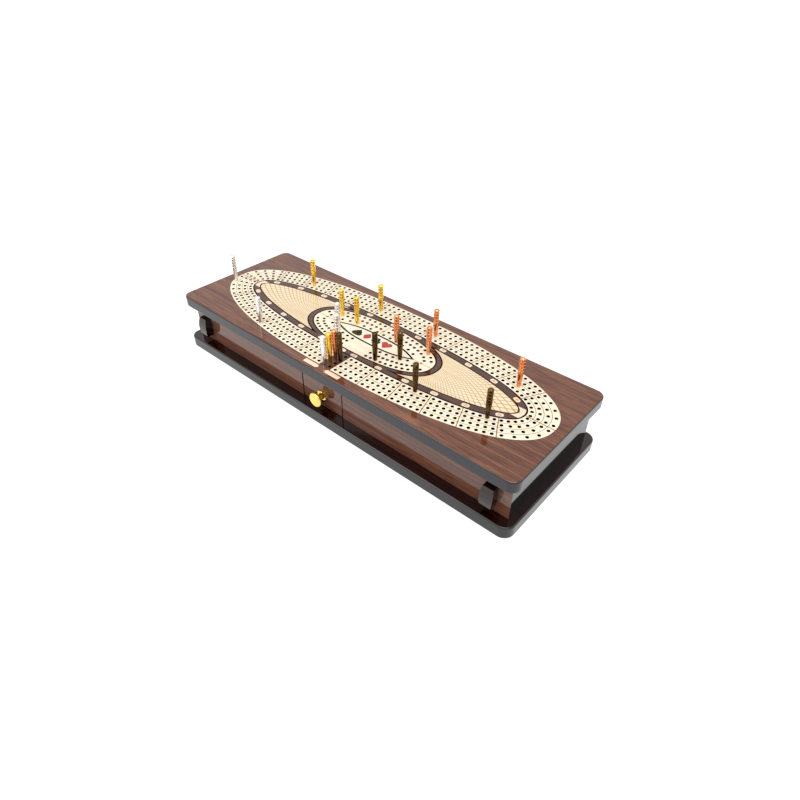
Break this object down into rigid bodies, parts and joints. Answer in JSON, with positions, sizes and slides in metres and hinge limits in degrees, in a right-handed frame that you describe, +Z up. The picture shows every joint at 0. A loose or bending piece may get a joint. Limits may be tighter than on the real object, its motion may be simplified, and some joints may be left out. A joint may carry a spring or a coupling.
{
  "type": "cribbage box with drawer",
  "caption": "Wooden box whose top is an inlaid oval cribbage board with metal pegs, with a narrow knobbed drawer in its front.",
  "frame": {"origin": "middle of the base board's underside", "axes": "+X along the box's length to the right as seen from the drawer, +Y from the drawer to the back, +Z up"},
  "size_m": [0.3704, 0.1294, 0.0809],
  "materials": {
    "walnut_board": "gloss lacquer",
    "walnut_wall": "gloss lacquer",
    "maple_inlay": "gloss lacquer",
    "black_line": "gloss lacquer",
    "bone_tile": "gloss lacquer",
    "black_sign": "gloss lacquer",
    "red_sign": "gloss lacquer",
    "inside_wood": "plain sanded",
    "brass": "polished",
    "steel_screw": "plated",
    "silver_metal": "polished",
    "gold_metal": "polished",
    "copper_metal": "polished",
    "black_metal": "antiqued"
  },
  "bodies": {
    "box": {"top_board": "walnut_board", "base_board": "walnut_board", "outer_track_inlay": "maple_inlay", "inner_track_inlay": "maple_inlay", "eye_inlay": "maple_inlay", "left_lens_inlay": "maple_inlay", "right_lens_inlay": "maple_inlay", "track_stringing": "black_line", "lens_stringing": "black_line", "oval_stringing": "black_line", "eye_stringing": "black_line", "count_lozenges": "bone_tile", "start_plaques": "bone_tile", "spade_inlay": "black_sign", "club_inlay": "black_sign", "diamond_inlay": "red_sign", "heart_inlay": "red_sign", "front_wall_left": "walnut_wall", "front_wall_right": "walnut_wall", "back_wall": "walnut_wall", "left_end_wall": "walnut_wall", "right_end_wall": "walnut_wall", "front_left_bracket": "walnut_wall", "front_right_bracket": "walnut_wall", "back_left_bracket": "walnut_wall", "back_right_bracket": "walnut_wall", "left_drawer_guide": "inside_wood", "right_drawer_guide": "inside_wood"},
    "drawer": {"drawer_front": "walnut_wall", "drawer_left_side": "inside_wood", "drawer_right_side": "inside_wood", "drawer_back": "inside_wood", "drawer_bottom": "inside_wood", "drawer_knob": "brass", "knob_screw": "steel_screw"},
    "silver_peg_1": {"silver_peg_1": "silver_metal"},
    "silver_peg_2": {"silver_peg_2": "silver_metal"},
    "silver_peg_3": {"silver_peg_3": "silver_metal"},
    "silver_peg_4": {"silver_peg_4": "silver_metal"},
    "silver_peg_5": {"silver_peg_5": "silver_metal"},
    "gold_peg_1": {"gold_peg_1": "gold_metal"},
    "gold_peg_2": {"gold_peg_2": "gold_metal"},
    "gold_peg_3": {"gold_peg_3": "gold_metal"},
    "gold_peg_4": {"gold_peg_4": "gold_metal"},
    "gold_peg_5": {"gold_peg_5": "gold_metal"},
    "copper_peg_1": {"copper_peg_1": "copper_metal"},
    "copper_peg_2": {"copper_peg_2": "copper_metal"},
    "copper_peg_3": {"copper_peg_3": "copper_metal"},
    "copper_peg_4": {"copper_peg_4": "copper_metal"},
    "copper_peg_5": {"copper_peg_5": "copper_metal"},
    "black_peg_1": {"black_peg_1": "black_metal"},
    "black_peg_2": {"black_peg_2": "black_metal"},
    "black_peg_3": {"black_peg_3": "black_metal"},
    "black_peg_4": {"black_peg_4": "black_metal"},
    "black_peg_5": {"black_peg_5": "black_metal"}
  },
  "joints": [
    {"name": "drawer_slide", "type": "slide", "parent": "box", "child": "drawer", "axis": [0, -1, 0], "range_m": [0, 0.08]},
    {"name": "silver_peg_1_lift", "type": "slide", "parent": "box", "child": "silver_peg_1", "axis": [0, 0, 1], "range_m": [0, 0.012]},
    {"name": "silver_peg_2_lift", "type": "slide", "parent": "box", "child": "silver_peg_2", "axis": [0, 0, 1], "range_m": [0, 0.012]},
    {"name": "silver_peg_3_lift", "type": "slide", "parent": "box", "child": "silver_peg_3", "axis": [0, 0, 1], "range_m": [0, 0.012]},
    {"name": "silver_peg_4_lift", "type": "slide", "parent": "box", "child": "silver_peg_4", "axis": [0, 0, 1], "range_m": [0, 0.012]},
    {"name": "silver_peg_5_lift", "type": "slide", "parent": "box", "child": "silver_peg_5", "axis": [0, 0, 1], "range_m": [0, 0.012]},
    {"name": "gold_peg_1_lift", "type": "slide", "parent": "box", "child": "gold_peg_1", "axis": [0, 0, 1], "range_m": [0, 0.012]},
    {"name": "gold_peg_2_lift", "type": "slide", "parent": "box", "child": "gold_peg_2", "axis": [0, 0, 1], "range_m": [0, 0.012]},
    {"name": "gold_peg_3_lift", "type": "slide", "parent": "box", "child": "gold_peg_3", "axis": [0, 0, 1], "range_m": [0, 0.012]},
    {"name": "gold_peg_4_lift", "type": "slide", "parent": "box", "child": "gold_peg_4", "axis": [0, 0, 1], "range_m": [0, 0.012]},
    {"name": "gold_peg_5_lift", "type": "slide", "parent": "box", "child": "gold_peg_5", "axis": [0, 0, 1], "range_m": [0, 0.012]},
    {"name": "copper_peg_1_lift", "type": "slide", "parent": "box", "child": "copper_peg_1", "axis": [0, 0, 1], "range_m": [0, 0.012]},
    {"name": "copper_peg_2_lift", "type": "slide", "parent": "box", "child": "copper_peg_2", "axis": [0, 0, 1], "range_m": [0, 0.012]},
    {"name": "copper_peg_3_lift", "type": "slide", "parent": "box", "child": "copper_peg_3", "axis": [0, 0, 1], "range_m": [0, 0.012]},
    {"name": "copper_peg_4_lift", "type": "slide", "parent": "box", "child": "copper_peg_4", "axis": [0, 0, 1], "range_m": [0, 0.012]},
    {"name": "copper_peg_5_lift", "type": "slide", "parent": "box", "child": "copper_peg_5", "axis": [0, 0, 1], "range_m": [0, 0.012]},
    {"name": "black_peg_1_lift", "type": "slide", "parent": "box", "child": "black_peg_1", "axis": [0, 0, 1], "range_m": [0, 0.012]},
    {"name": "black_peg_2_lift", "type": "slide", "parent": "box", "child": "black_peg_2", "axis": [0, 0, 1], "range_m": [0, 0.012]},
    {"name": "black_peg_3_lift", "type": "slide", "parent": "box", "child": "black_peg_3", "axis": [0, 0, 1], "range_m": [0, 0.012]},
    {"name": "black_peg_4_lift", "type": "slide", "parent": "box", "child": "black_peg_4", "axis": [0, 0, 1], "range_m": [0, 0.012]},
    {"name": "black_peg_5_lift", "type": "slide", "parent": "box", "child": "black_peg_5", "axis": [0, 0, 1], "range_m": [0, 0.012]}
  ]
}
